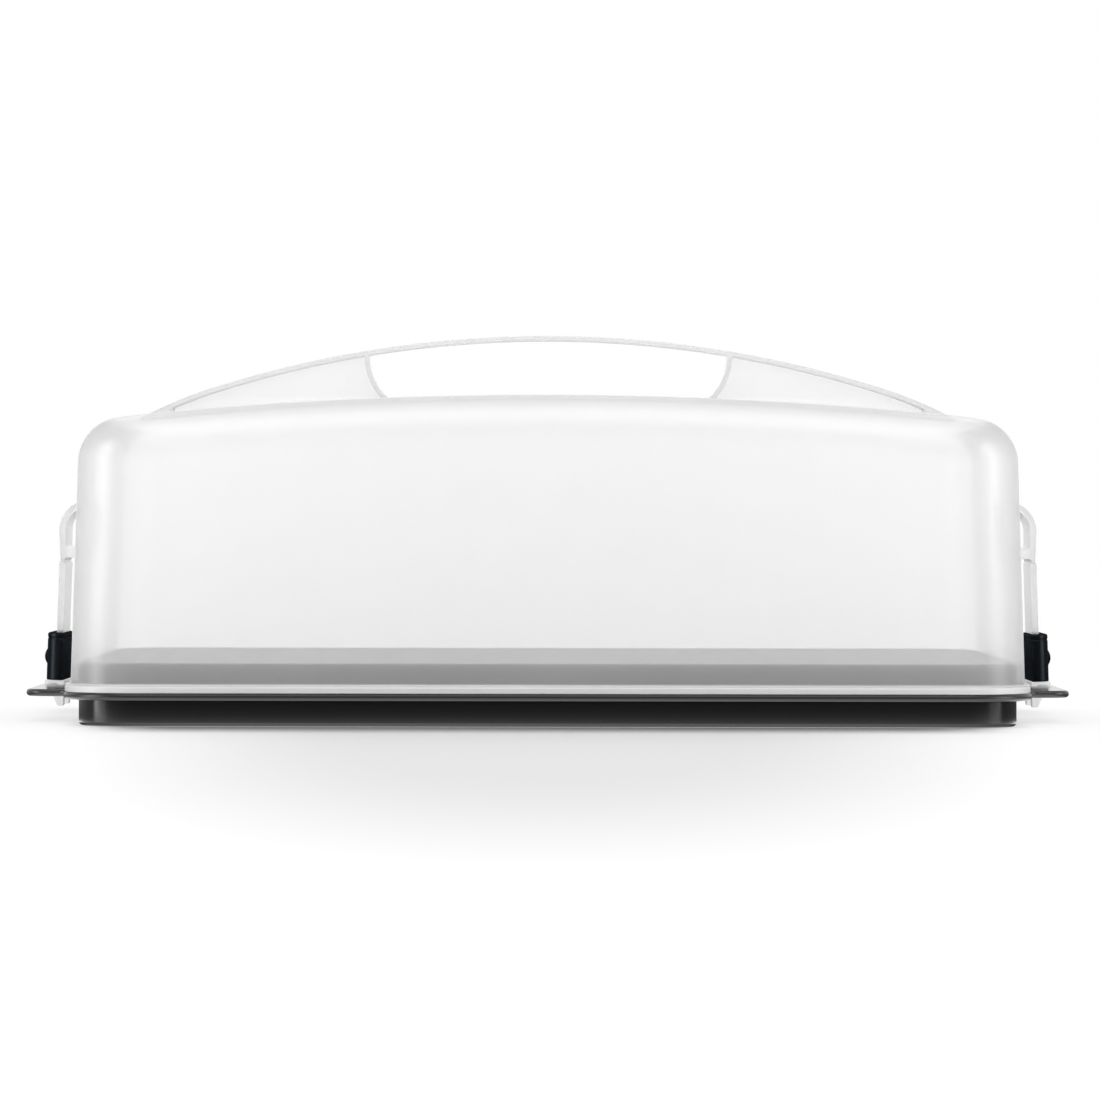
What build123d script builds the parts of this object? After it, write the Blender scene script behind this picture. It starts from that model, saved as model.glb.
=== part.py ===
"""Rectangular cake carrier: a base tray, a clear hood that lifts off it, a carrying handle
and a squeeze latch with a soft grip pad at each short end.

Millimetres. X runs along the length, -Y is the front, Z is up, and the origin is the
centre of the footprint, on the surface that the carrier stands on."""
import os
from math import cos, radians, sin, sqrt, tan

from build123d import *

# Base tray
body_length = 387.2
body_depth = 281.2
body_corner_radius = 24.0
base_wall = 2.6
skirt_height = 10.8
skirt_edge_chamfer = 1.6
rim_overhang = 6.4
rim_thickness = 3.0
rim_top_chamfer = 0.5
rim_bottom_chamfer = 1.8
platform_height = 26.0
platform_thickness = 2.6
platform_edge_radius = 2.2
rib_thickness = 1.8
rib_depth = 5.0
rib_pitch_x = 96.0
rib_pitch_y = 92.0
ribs_across = 3
ribs_along = 2

# End tabs of the base, with one slot each for the two hooks of a latch
tab_reach = 18.5
tab_width = 178.0
tab_corner_radius = 10.0
tab_root_radius = 6.0
slot_end_radius = 1.0

# Hood
hood_clearance = 1.5
hood_wall = 2.0
hood_end_draft = 1.8
hood_crown_height = 136.4
hood_crown_radius = 1700.0
hood_edge_radius = 16.0
flange_overhang = 5.8
flange_thickness = 2.9
flange_edge_chamfer = 0.6
flange_root_chamfer = 1.5

# Carrying handle
handle_rise = 27.6
handle_arc_radius = 475.0
handle_arc_half_span = 145.0
handle_end_inset = 15.9
handle_web = 2.4
handle_band_thickness = 2.1
handle_band_width = 18.0
handle_root_chamfer = 1.2
handle_seat_gap = 0.05
opening_half_width = 77.0
opening_corner_radius = 24.0
opening_corner_rise = 18.6

# Latches
arm_gap = 9.9
arm_width = 38.0
arm_thickness = 2.8
arm_lean = 1.8
bend_height = 65.5
bend_clearance = 0.15
bend_lip = 0.9
loop_radius = 13.1
loop_centre_height = 79.8
loop_web_height = 68.2
loop_web_thickness = 4.6
squeeze_angle = 4.0
hook_width = 8.0
hook_setback = 0.9
hook_barb = 2.2
hook_depth = 6.0
hook_tip_thickness = 2.4
hook_lip = 0.8
catch_clearance = 0.3
slot_clearance = 0.4
foot_lift = 0.3
foot_thickness = 1.5
foot_reach = 4.6

# Grip pads
pad_width = 46.0
pad_height = 20.4
pad_front = 3.9
pad_back = 0.8
pad_corner_radius = 3.0
pad_back_corner_radius = 0.9
pad_edge_chamfer = 0.7
pad_fit = 0.05
pad_band_drop = 2.0
pad_band_height = 0.8
pad_band_depth = 0.5
thumb_rest_width = 30.0
thumb_rest_height = 7.6
thumb_rest_bulge = 1.5
thumb_rest_drop = 10.4
thumb_rest_slope = 40.0

# Places worked out from the sizes above
rim_top = skirt_height + rim_thickness
rim_length = body_length + 2 * rim_overhang
rim_depth = body_depth + 2 * rim_overhang
hood_base_half_length = body_length / 2 + hood_clearance + hood_wall
hood_base_half_depth = body_depth / 2 + hood_clearance + hood_wall
hood_base_corner_radius = body_corner_radius + hood_clearance + hood_wall
arm_inner = hood_base_half_length + arm_gap
arm_outer = arm_inner + arm_thickness
arm_centre = arm_inner + arm_thickness / 2
foot_bottom = rim_top + foot_lift
foot_top = foot_bottom + foot_thickness
barb_top = skirt_height - catch_clearance
hook_bottom = barb_top - hook_depth
hook_inner = -arm_thickness / 2 - hook_setback
lean_slope = tan(radians(arm_lean))
squeezed_slope = tan(radians(squeeze_angle - arm_lean))
slot_outer = (
    arm_centre
    + hook_inner
    + arm_thickness
    + (bend_height - skirt_height) * lean_slope
    + slot_clearance
)
slot_inner = (
    arm_centre + hook_inner - (bend_height - hook_bottom) * squeezed_slope - slot_clearance
)
slot_length = arm_width + 2 * slot_clearance
handle_height = hood_crown_height + handle_rise
opening_corner_height = hood_crown_height + opening_corner_rise


# The latch on the right leans outwards from its bend axis as it goes down. One plane shows it from
# the front, and one is level with the pad and looks up along the arm.
lean_cos = cos(radians(arm_lean))
lean_sin = sin(radians(arm_lean))
arm_plane = Plane(
    origin=(arm_centre, 0, bend_height), x_dir=(lean_cos, 0, lean_sin), z_dir=(0, -1, 0)
)
pad_plane = Plane(
    origin=(arm_centre, 0, bend_height),
    x_dir=(lean_cos, 0, lean_sin),
    z_dir=(-lean_sin, 0, lean_cos),
)
face_plane = Plane(
    origin=(arm_centre, 0, bend_height),
    x_dir=(0, 1, 0),
    z_dir=(lean_cos, 0, lean_sin),
)


def hood_half_length(height):
    """Half the hood's outer length at a height, on its drafted end wall."""
    return hood_base_half_length - (height - rim_top) * tan(radians(hood_end_draft))


def crown_height(x):
    """Height of the hood's crowned top at a distance x from the middle."""
    return hood_crown_height - hood_crown_radius + sqrt(hood_crown_radius**2 - x**2)


def level_face(builder, height):
    """The level face of a part that lies at a height."""
    return builder.faces().filter_by(Axis.Z).sort_by(lambda f: abs(f.center().Z - height))[0]


def hood_block(inset):
    """A solid block with the hood's outside shape, every face but the lowest moved in by inset.

    The ends lean in with the draft, the front and back stand upright, and the top is a crown
    whose axis runs from front to back."""
    block_length = 2 * (hood_base_half_length - inset / cos(radians(hood_end_draft)))
    block_top = hood_crown_height - inset
    block_crown_radius = hood_crown_radius - inset
    with BuildPart() as block:
        with BuildSketch(Plane.XZ):
            with Locations((0, rim_top)):
                Trapezoid(
                    block_length,
                    block_top - rim_top,
                    90 - hood_end_draft,
                    align=(Align.CENTER, Align.MIN),
                )
            with Locations((0, block_top - block_crown_radius)):
                Circle(block_crown_radius, mode=Mode.INTERSECT)
        extrude(amount=hood_base_half_depth - inset, both=True)
        end_faces = block.faces().sort_by(Axis.X)
        corner_edges = (end_faces[0].edges() + end_faces[-1].edges()).filter_by(
            Axis.Y, reverse=True
        )
        fillet(corner_edges, hood_base_corner_radius - inset)
        fillet(block.faces().sort_by(Axis.Z)[-1].edges(), hood_edge_radius - inset)
    return block.part


# Base tray: an upturned pan with a rim half way up, two end tabs and ribs under the platform
with BuildPart() as base_tray:
    with BuildSketch():
        RectangleRounded(body_length, body_depth, body_corner_radius)
    extrude(amount=platform_height)
    fillet(base_tray.faces().sort_by(Axis.Z)[-1].edges(), platform_edge_radius)
    with BuildSketch():
        RectangleRounded(
            body_length - 2 * base_wall,
            body_depth - 2 * base_wall,
            body_corner_radius - base_wall,
        )
    extrude(amount=platform_height - platform_thickness, mode=Mode.SUBTRACT)
    chamfer(level_face(base_tray, 0).outer_wire().edges(), skirt_edge_chamfer)
    with BuildSketch(Plane.XY.offset(skirt_height)) as rim_outline:
        RectangleRounded(rim_length, rim_depth, body_corner_radius + rim_overhang)
        RectangleRounded(rim_length + 2 * tab_reach, tab_width, tab_corner_radius)
        tab_roots = [
            rim_outline.vertices().sort_by_distance((end, side))[0]
            for end in (-rim_length / 2, rim_length / 2)
            for side in (-tab_width / 2, tab_width / 2)
        ]
        fillet(tab_roots, tab_root_radius)
        RectangleRounded(
            body_length - base_wall,
            body_depth - base_wall,
            body_corner_radius - base_wall / 2,
            mode=Mode.SUBTRACT,
        )
    extrude(amount=rim_thickness)
    chamfer(level_face(base_tray, rim_top).outer_wire().edges(), rim_top_chamfer)
    chamfer(level_face(base_tray, skirt_height).outer_wire().edges(), rim_bottom_chamfer)
    with BuildSketch(Plane.XY.offset(skirt_height)):
        slot_middle = (slot_inner + slot_outer) / 2
        with Locations((slot_middle, 0), (-slot_middle, 0)):
            RectangleRounded(slot_outer - slot_inner, slot_length, slot_end_radius)
    extrude(amount=rim_thickness, mode=Mode.SUBTRACT)
    with BuildSketch(Plane.XY.offset(platform_height - platform_thickness - rib_depth)):
        with GridLocations(rib_pitch_x, 0, ribs_across, 1):
            Rectangle(rib_thickness, body_depth - base_wall)
        with GridLocations(0, rib_pitch_y, 1, ribs_along):
            Rectangle(body_length - base_wall, rib_thickness)
    extrude(amount=rib_depth)
base_tray.part.label = "base_tray"

# Hood: a shell with a crowned top, a flange that rests on the rim, and the two loops that the
# latch arms hang from
hood_outside = hood_block(0)
hood_inside = hood_block(hood_wall)
with BuildPart() as hood:
    add(hood_outside)
    add(hood_inside, mode=Mode.SUBTRACT)
    with BuildSketch(Plane.XY.offset(rim_top)):
        flange_grow = flange_overhang - hood_clearance - hood_wall
        RectangleRounded(
            2 * (hood_base_half_length + flange_grow),
            2 * (hood_base_half_depth + flange_grow),
            hood_base_corner_radius + flange_grow,
        )
        RectangleRounded(
            2 * hood_base_half_length - hood_wall,
            2 * hood_base_half_depth - hood_wall,
            hood_base_corner_radius - hood_wall / 2,
            mode=Mode.SUBTRACT,
        )
    extrude(amount=flange_thickness)
    flange_top = level_face(hood, rim_top + flange_thickness)
    chamfer(flange_top.inner_wires()[0].edges(), flange_root_chamfer)
    flange_top = level_face(hood, rim_top + flange_thickness)
    chamfer(flange_top.outer_wire().edges(), flange_edge_chamfer)
    with BuildSketch(Plane.XZ):
        loop_centre = (arm_outer - loop_radius, loop_centre_height)
        loop_root = hood_half_length(loop_centre_height) - hood_wall / 2
        with Locations(loop_centre):
            Circle(loop_radius)
            Circle(loop_radius - arm_thickness, mode=Mode.SUBTRACT)
        with Locations((loop_centre[0], loop_centre_height)):
            Rectangle(
                2 * loop_radius,
                loop_radius,
                align=(Align.CENTER, Align.MAX),
                mode=Mode.SUBTRACT,
            )
        with Locations((arm_centre, bend_height + bend_lip)):
            Rectangle(
                arm_thickness,
                loop_centre_height - bend_height - bend_lip,
                align=(Align.CENTER, Align.MIN),
            )
        with Locations((loop_root, loop_web_height)):
            Rectangle(
                arm_centre - loop_root,
                loop_web_thickness,
                align=(Align.MIN, Align.MIN),
            )
        with Locations((loop_root, 0)):
            Rectangle(
                2 * loop_radius,
                2 * hood_crown_height,
                align=(Align.MAX, Align.CENTER),
                mode=Mode.SUBTRACT,
            )
        with Locations((arm_centre, bend_height)):
            Circle(arm_thickness / 2 + bend_clearance, mode=Mode.SUBTRACT)
        mirror(about=Plane.YZ)
    extrude(amount=arm_width / 2, both=True)
hood.part.label = "hood"

# Carrying handle: a thin web under a wide arched band, cut away over the middle for the fingers
with BuildPart() as carry_handle:
    end_x = hood_half_length(crown_height(hood_base_half_length)) - handle_end_inset
    with BuildSketch(Plane.XZ) as handle_outline:
        with BuildLine():
            arc_end_height = (
                handle_height
                - handle_arc_radius
                + sqrt(handle_arc_radius**2 - handle_arc_half_span**2)
            )
            arch = ThreePointArc(
                (-handle_arc_half_span, arc_end_height),
                (0, handle_height),
                (handle_arc_half_span, arc_end_height),
            )
            seat_end = crown_height(end_x) + handle_seat_gap
            TangentArc(arch @ 1, (end_x, seat_end), tangent=arch % 1)
            TangentArc(arch @ 0, (-end_x, seat_end), tangent=-(arch % 0))
            ThreePointArc(
                (-end_x, seat_end),
                (0, hood_crown_height + handle_seat_gap),
                (end_x, seat_end),
            )
        make_face()
    extrude(amount=handle_web / 2, both=True)
    with BuildSketch(Plane.XZ) as opening:
        with Locations((0, opening_corner_height - opening_corner_radius)):
            Rectangle(
                2 * opening_half_width,
                2 * opening_corner_radius,
                align=(Align.CENTER, Align.MIN),
            )
        fillet(opening.vertices().group_by(Axis.Z)[0], opening_corner_radius)
    extrude(amount=handle_web, both=True, mode=Mode.SUBTRACT)
    with BuildSketch(Plane.XZ):
        add(opening.sketch)
        offset(amount=handle_band_thickness)
        add(opening.sketch, mode=Mode.SUBTRACT)
        add(handle_outline.sketch, mode=Mode.INTERSECT)
    extrude(amount=handle_band_width / 2, both=True)
    with BuildSketch(Plane.XZ):
        add(handle_outline.sketch)
        offset(handle_outline.sketch, amount=-handle_band_thickness, mode=Mode.SUBTRACT)
    extrude(amount=handle_band_width / 2, both=True)
    web_faces = carry_handle.faces().filter_by(Axis.Y)
    web_faces = web_faces.filter_by(lambda f: abs(f.center().Y) < handle_band_width / 4)
    chamfer(web_faces.edges(), handle_root_chamfer)
carry_handle.part.label = "carry_handle"

# Latch arm: a strap with a rounded top that turns in the loop's seat, a foot under the grip pad
# and two outward hooks that catch under the base tab. Heights are taken from the bend axis.
arm_half = arm_thickness / 2
foot_low = foot_bottom - bend_height
foot_high = foot_top - bend_height
barb_level = barb_top - bend_height
tip_level = hook_bottom - bend_height
with BuildPart() as latch_arm_right:
    with BuildSketch(arm_plane):
        Circle(arm_half)
        Rectangle(arm_thickness, -foot_low, align=(Align.CENTER, Align.MAX))
        with Locations((hook_inner, foot_low)):
            Rectangle(
                arm_half + foot_reach - hook_inner,
                foot_thickness,
                align=(Align.MIN, Align.MIN),
            )
    extrude(amount=arm_width / 2, both=True)
    for hook_side in (-1, 1):
        hook_middle = hook_side * (arm_width - hook_width) / 2
        with BuildSketch(arm_plane.offset(hook_middle)):
            with BuildLine():
                shank_outer = hook_inner + arm_thickness
                Polyline(
                    (hook_inner, foot_low),
                    (shank_outer, foot_low),
                    (shank_outer, barb_level),
                    (shank_outer + hook_barb, barb_level),
                    (shank_outer + hook_barb, barb_level - hook_lip),
                    (hook_inner + hook_tip_thickness, tip_level),
                    (hook_inner, tip_level),
                    close=True,
                )
            make_face()
        extrude(amount=hook_width / 2, both=True)
latch_arm_right.part.label = "latch_arm_right"

# Grip pad: a soft sleeve round the lower part of the arm, with a band line and a thumb rest
pad_foot_plane = pad_plane.offset(foot_high)
band_level = foot_high + pad_height - pad_band_drop - pad_band_height
thumb_level = foot_high + pad_height - thumb_rest_drop
with BuildPart() as grip_pad_right:
    with BuildSketch(pad_foot_plane) as pad_outline:
        with Locations((-arm_half - pad_back, 0)):
            Rectangle(
                pad_back + arm_thickness + pad_front,
                pad_width,
                align=(Align.MIN, Align.CENTER),
            )
        fillet(pad_outline.vertices().group_by(Axis.X)[0], pad_back_corner_radius)
        fillet(pad_outline.vertices().group_by(Axis.X)[-1], pad_corner_radius)
    extrude(amount=pad_height)
    chamfer(grip_pad_right.faces().filter_by(pad_plane).edges(), pad_edge_chamfer)
    with BuildSketch(pad_plane.offset(band_level)):
        add(pad_outline.sketch_local)
        offset(pad_outline.sketch_local, amount=-pad_band_depth, mode=Mode.SUBTRACT)
    extrude(amount=pad_band_height, mode=Mode.SUBTRACT)
    with BuildSketch(face_plane.offset(arm_half + pad_front)):
        with Locations((0, thumb_level)):
            SlotOverall(thumb_rest_width, thumb_rest_height)
    extrude(amount=thumb_rest_bulge, taper=thumb_rest_slope)
    with BuildSketch(pad_foot_plane):
        Rectangle(arm_thickness + 2 * pad_fit, arm_width + 2 * pad_fit)
    extrude(amount=pad_height, mode=Mode.SUBTRACT)
grip_pad_right.part.label = "grip_pad_right"

with BuildPart() as latch_arm_left:
    mirror(latch_arm_right.part, about=Plane.YZ)
latch_arm_left.part.label = "latch_arm_left"

with BuildPart() as grip_pad_left:
    mirror(grip_pad_right.part, about=Plane.YZ)
grip_pad_left.part.label = "grip_pad_left"

os.makedirs("parts", exist_ok=True)
export_step(base_tray.part, "parts/base_tray.step")
export_step(hood.part, "parts/hood.step")
export_step(carry_handle.part, "parts/carry_handle.step")
export_step(latch_arm_left.part, "parts/latch_arm_left.step")
export_step(latch_arm_right.part, "parts/latch_arm_right.step")
export_step(grip_pad_left.part, "parts/grip_pad_left.step")
export_step(grip_pad_right.part, "parts/grip_pad_right.step")
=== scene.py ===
"""Looks of a rectangular cake carrier: charcoal tray, frosted hood and handle, two latches.

Lengths are worked out in millimetres, in the CAD frame, and turned to metres as a mesh is made.
"""

import bpy
import numpy as np
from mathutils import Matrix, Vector
from mathutils.geometry import tessellate_polygon


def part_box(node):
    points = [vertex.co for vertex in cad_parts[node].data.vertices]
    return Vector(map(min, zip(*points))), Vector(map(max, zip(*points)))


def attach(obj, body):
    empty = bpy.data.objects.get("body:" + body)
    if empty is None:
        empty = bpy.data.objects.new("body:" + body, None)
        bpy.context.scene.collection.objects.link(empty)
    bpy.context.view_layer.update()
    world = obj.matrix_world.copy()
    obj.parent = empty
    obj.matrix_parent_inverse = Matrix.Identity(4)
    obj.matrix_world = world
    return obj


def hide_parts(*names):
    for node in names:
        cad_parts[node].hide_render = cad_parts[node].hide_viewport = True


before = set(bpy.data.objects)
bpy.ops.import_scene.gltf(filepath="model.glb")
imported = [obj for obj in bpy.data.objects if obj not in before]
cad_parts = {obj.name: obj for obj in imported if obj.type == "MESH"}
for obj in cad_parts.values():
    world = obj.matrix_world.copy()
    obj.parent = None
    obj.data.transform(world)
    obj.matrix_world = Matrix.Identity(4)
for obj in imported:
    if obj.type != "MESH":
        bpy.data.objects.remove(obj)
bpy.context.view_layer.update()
MM = 0.001


def box_mm(node):
    """Lowest and highest corner of a CAD node at rest, in millimetres."""
    low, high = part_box(node)
    return np.array(low) / MM, np.array(high) / MM


tray_high = box_mm("base_tray")[1]
hood_low, hood_high = box_mm("hood")
handle_high = box_mm("carry_handle")[1]
arm_low, arm_high = box_mm("latch_arm_right")
pad_high = box_mm("grip_pad_right")[1]
latch_gap = 0.3  # from the tabs up to the feet, and down to the barbs

# Tray
rim_overhang = 6.4
tab_reach = 18.5
tab_half_width = 89.0
tab_corner_radius = 10.0
tab_root_radius = 6.0
body_corner_radius = 24.0
tray_wall = 2.6
skirt_height = 10.8
skirt_edge_radius = 1.6
rim_top = hood_low[2]
rim_edge_radius = 1.49
platform_height = tray_high[2]
platform_edge_radius = 1.1
rim_half_length = tray_high[0] - tab_reach
rim_half_depth = tray_high[1]
body_half_length = rim_half_length - rim_overhang
body_half_depth = rim_half_depth - rim_overhang
rib_thickness = 1.8
rib_depth = 5.0
rib_root = 0.5  # how far a rib reaches into the platform
rib_edge_radius = 0.3
rib_pitch_x = 96.0
rib_pitch_y = 92.0
# faces of the slots in the tabs, between which the shanks of the hooks swing
slot_outer = 211.02
slot_inner = 203.36
slot_corner_radius = 1.0
slot_end_gap = 0.4

# Hood
hood_wall = 2.0
hood_clearance = 1.5
hood_lean = np.tan(np.radians(1.8))
hood_edge_radius = 16.0
crown_radius = 1700.0
crown_top = hood_high[2]
hood_gap = hood_clearance + hood_wall
hood_half_length = body_half_length + hood_gap
hood_half_depth = body_half_depth + hood_gap
hood_corner_radius = body_corner_radius + hood_gap
flange_out = hood_high[1] - hood_half_depth
flange_thickness = 2.9
flange_top = rim_top + flange_thickness

# Handle
handle_top = handle_high[2]
handle_end_x = handle_high[0]
handle_arc_radius = 475.0
handle_arc_half_span = 145.0
handle_half_width = handle_high[1]
handle_seat_gap = 0.05
band_thickness = 2.1
web_half_thickness = 1.2
web_fillet = 0.6
web_bite = 0.02  # how far the web's root reaches into the band
opening_half_width = 77.0
opening_corner_radius = 24.0
opening_corner_rise = 18.6

# Latches, in a frame that leans with the arm and has its origin on the bend axis
arm_half_width = arm_high[1]
arm_thickness = 2.8
arm_lean = np.radians(1.8)
arm_inner = arm_low[0]
arm_centre = arm_inner + arm_thickness / 2
bend_height = arm_high[2] - arm_thickness / 2
hook_width = 8.0
hook_setback = 0.9
hook_barb = 2.2
hook_lip = 0.8
hook_tip_thickness = 2.4
hook_depth = 6.0
barb_top = skirt_height - latch_gap - bend_height
foot_low = rim_top + latch_gap - bend_height
foot_thickness = 1.5
foot_reach = 4.6
loop_radius = 13.1
loop_centre_height = 79.8
loop_web_height = 68.2
loop_web_thickness = 4.6
loop_seat_gap = 0.15
loop_seat_lift = 0.86  # height of the round seat's ends, as a share of its radius

# Grip pads, in the same leaning frame
pad_half_width = pad_high[1]
pad_height = 20.4
pad_back = 0.8
pad_front = 3.9
pad_corner_radius = 6.2
pad_inner_corner_radius = 0.9
pad_head_radius = 0.9
pad_foot_radius = 0.5
pad_sleeve_gap = 0.05
pad_band_drop = 2.4
pad_band_depth = 0.2
pad_band_half_width = 0.5
thumb_rest_drop = 10.4
thumb_rest_half_length = 11.2
thumb_rest_half_height = 3.8
thumb_rest_bulge = 1.5


# ---- Shapes -------------------------------------------------------------------------------

def rounded_path(corners, closed=False, segments=8):
    """A path through rows of (u, v, radius), whose corners are arcs, and its right-hand normals.

    At a corner the heading turns evenly from the run before to the run after. A point of its arc
    is the arc's centre plus radius times the normal of that heading, and the centre lies on the
    corner's mean normal at radius / cos(half the turn). A radius of 0 marks a point of a curve."""
    rows = np.array(corners, float)
    point, radius = rows[:, :2], rows[:, 2]
    step = np.roll(point, -1, 0) - point
    heading = np.arctan2(step[:, 1], step[:, 0])
    if not closed:
        heading[-1] = heading[-2]
    arriving = np.roll(heading, 1)
    if not closed:
        arriving[0] = heading[0]
    turn = (heading - arriving + np.pi) % (2 * np.pi) - np.pi
    counts = np.where(radius > 0, segments + 1, 1)
    which = np.repeat(np.arange(len(rows)), counts)
    first = np.repeat(np.cumsum(counts) - counts, counts)
    share = np.where(radius[which] > 0, (np.arange(len(which)) - first) / segments, 0.5)
    angle = arriving[which] + share * turn[which]
    middle = (arriving + turn / 2)[which]
    side = np.sign(turn[which])[:, None] * radius[which][:, None]
    normal = np.stack([np.sin(angle), -np.cos(angle)], 1)
    mean_normal = np.stack([np.sin(middle), -np.cos(middle)], 1)
    reach = side / np.cos(turn[which] / 2)[:, None]
    return point[which] - reach * mean_normal + side * normal, normal


def rectangle_corners(half_length, half_depth, radius, pieces=1):
    """Corners of a rounded rectangle, anticlockwise, with its long runs in equal pieces."""
    run = np.linspace(-1, 1, pieces + 1)[1:-1, None] * (half_length - radius)
    front = np.hstack([run, 0 * run - half_depth, 0 * run])
    ends = [
        [[-half_length, -half_depth, radius]],
        front,
        [[half_length, -half_depth, radius], [half_length, half_depth, radius]],
        -front,
        [[-half_length, half_depth, radius]],
    ]
    return np.vstack(ends)


def tangent_arc(start, heading, end, count):
    """Points on the arc that leaves start along heading and reaches end, both ends included."""
    across = np.array([-heading[1], heading[0]])
    chord = end - start
    radius = chord @ chord / (2 * chord @ across)
    centre = start + radius * across
    angles = [np.arctan2(*(p - centre)[::-1]) for p in (start, end)]
    angle = np.linspace(*np.unwrap(angles), count)
    return centre + abs(radius) * np.stack([np.cos(angle), np.sin(angle)], 1)


def ring_shell(rings, normals):
    """A closed skin: each grid of rings (row, place, xyz) is skinned from row to row, and the
    first rows of all grids share one cap, the last rows another, holes left open."""
    corners, caps, start = [], [[], []], 0
    for grid in rings:
        rows, places = grid.shape[:2]
        index = start + np.arange(rows * places).reshape(rows, places)
        near, far = index, np.roll(index, -1, 1)
        quads = np.stack([near[:-1], far[:-1], far[1:], near[1:]], -1)
        corners.append(quads.reshape(-1, 4))
        caps[0].append((grid[0], index[0]))
        caps[1].append((grid[-1], index[-1]))
        start += rows * places
    triangles = []
    for cap, normal in zip(caps, (normals[0][0, 0], normals[0][-1, 0])):
        index = np.concatenate([i for _, i in cap])
        place = np.concatenate([p for p, _ in cap])
        cut = np.array(tessellate_polygon([p.tolist() for p, _ in cap]))
        a, b, c = (place[cut[:, k]] for k in range(3))
        wrong = np.einsum("ij,j->i", np.cross(b - a, c - a), normal) < 0
        cut[wrong] = cut[wrong][:, ::-1]
        triangles.append(index[cut])
    flat = [g.reshape(-1, 3) for g in rings]
    return (
        np.concatenate(flat),
        np.concatenate([n.reshape(-1, 3) for n in normals]),
        np.concatenate(corners),
        np.concatenate(triangles),
    )


def carried(*walls):
    """A closed skin of loops, each with a path carried round it between two level caps.

    A point is the loop's point moved out along the loop's normal by the path's first number, at
    the height of its second. Loops keep the solid on their left, so holes run clockwise."""
    rings, normals = [], []
    for (loop, loop_normal), (path, path_normal) in walls:
        out, height = path[:, 0, None, None], path[:, 1, None]
        flat = loop[None] + out * loop_normal[None]
        level = np.broadcast_to(height, flat.shape[:2])[..., None]
        rings.append(np.concatenate([flat, level], -1))
        turned = path_normal[:, 0, None, None] * loop_normal[None]
        up = np.broadcast_to(path_normal[:, 1, None], flat.shape[:2])[..., None]
        normals.append(np.concatenate([turned, up], -1))
    return ring_shell(rings, normals)


def slab(loops, low, high, edge):
    """A plate between two heights whose loops all have edges rounded by the same radius. Its flat
    caps begin a little inside the roundings."""
    cap = 2.2 * edge
    path = rounded_path(
        [[-cap, low, 0], [0, low, edge], [0, high, edge], [-cap, high, 0]], segments=4
    )
    return carried(*[(loop, path) for loop in loops])


def upright(shell):
    """Turns a skin drawn in the XZ plane, with its thickness along -Y, to stand in place."""
    points, normals, quads, triangles = shell
    turn = np.array([[1, 0, 0], [0, 0, 1], [0, -1, 0]])
    return points @ turn, normals @ turn, quads, triangles


def leaned(shell):
    """Moves a skin from the latch's leaning frame to the right-hand latch."""
    points, normals, quads, triangles = shell
    c, s = np.cos(arm_lean), np.sin(arm_lean)
    turn = np.array([[c, 0, s], [0, 1, 0], [-s, 0, c]])
    moved = points @ turn + np.array([arm_centre, 0, bend_height])
    return moved, normals @ turn, quads, triangles


def mirrored(shell):
    """The skin on the other side of the middle, its faces still pointing outwards."""
    points, normals, quads, triangles = shell
    flip = np.array([-1, 1, 1])
    return points * flip, normals * flip, quads[:, ::-1], triangles[:, ::-1]


def piece(name, *shells):
    """One mesh object, in metres, from skins given in millimetres."""
    points, normals, faces, start = [], [], [], 0
    for shell_points, shell_normals, quads, triangles in shells:
        points.append(shell_points)
        normals.append(shell_normals)
        faces += (quads + start).tolist() + (triangles + start).tolist()
        start += len(shell_points)
    points, normals = np.concatenate(points), np.concatenate(normals)
    normals /= np.linalg.norm(normals, axis=1, keepdims=True)
    mesh = bpy.data.meshes.new(name)
    mesh.from_pydata((points * MM).tolist(), [], faces)
    mesh.shade_smooth()
    mesh.normals_split_custom_set_from_vertices(normals.tolist())
    made = bpy.data.objects.new(name, mesh)
    bpy.context.scene.collection.objects.link(made)
    return made


def dress(made, material, body, slot, *nodes):
    """Gives a piece its material and body, and lets it stand for CAD nodes."""
    made.data.materials.append(material)
    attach(made, body)
    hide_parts(*nodes)


def crown(x):
    """Height of the hood's outside top at a distance x from the middle."""
    return crown_top - crown_radius + np.sqrt(crown_radius**2 - x**2)


# ---- Tray ---------------------------------------------------------------------------------

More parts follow.
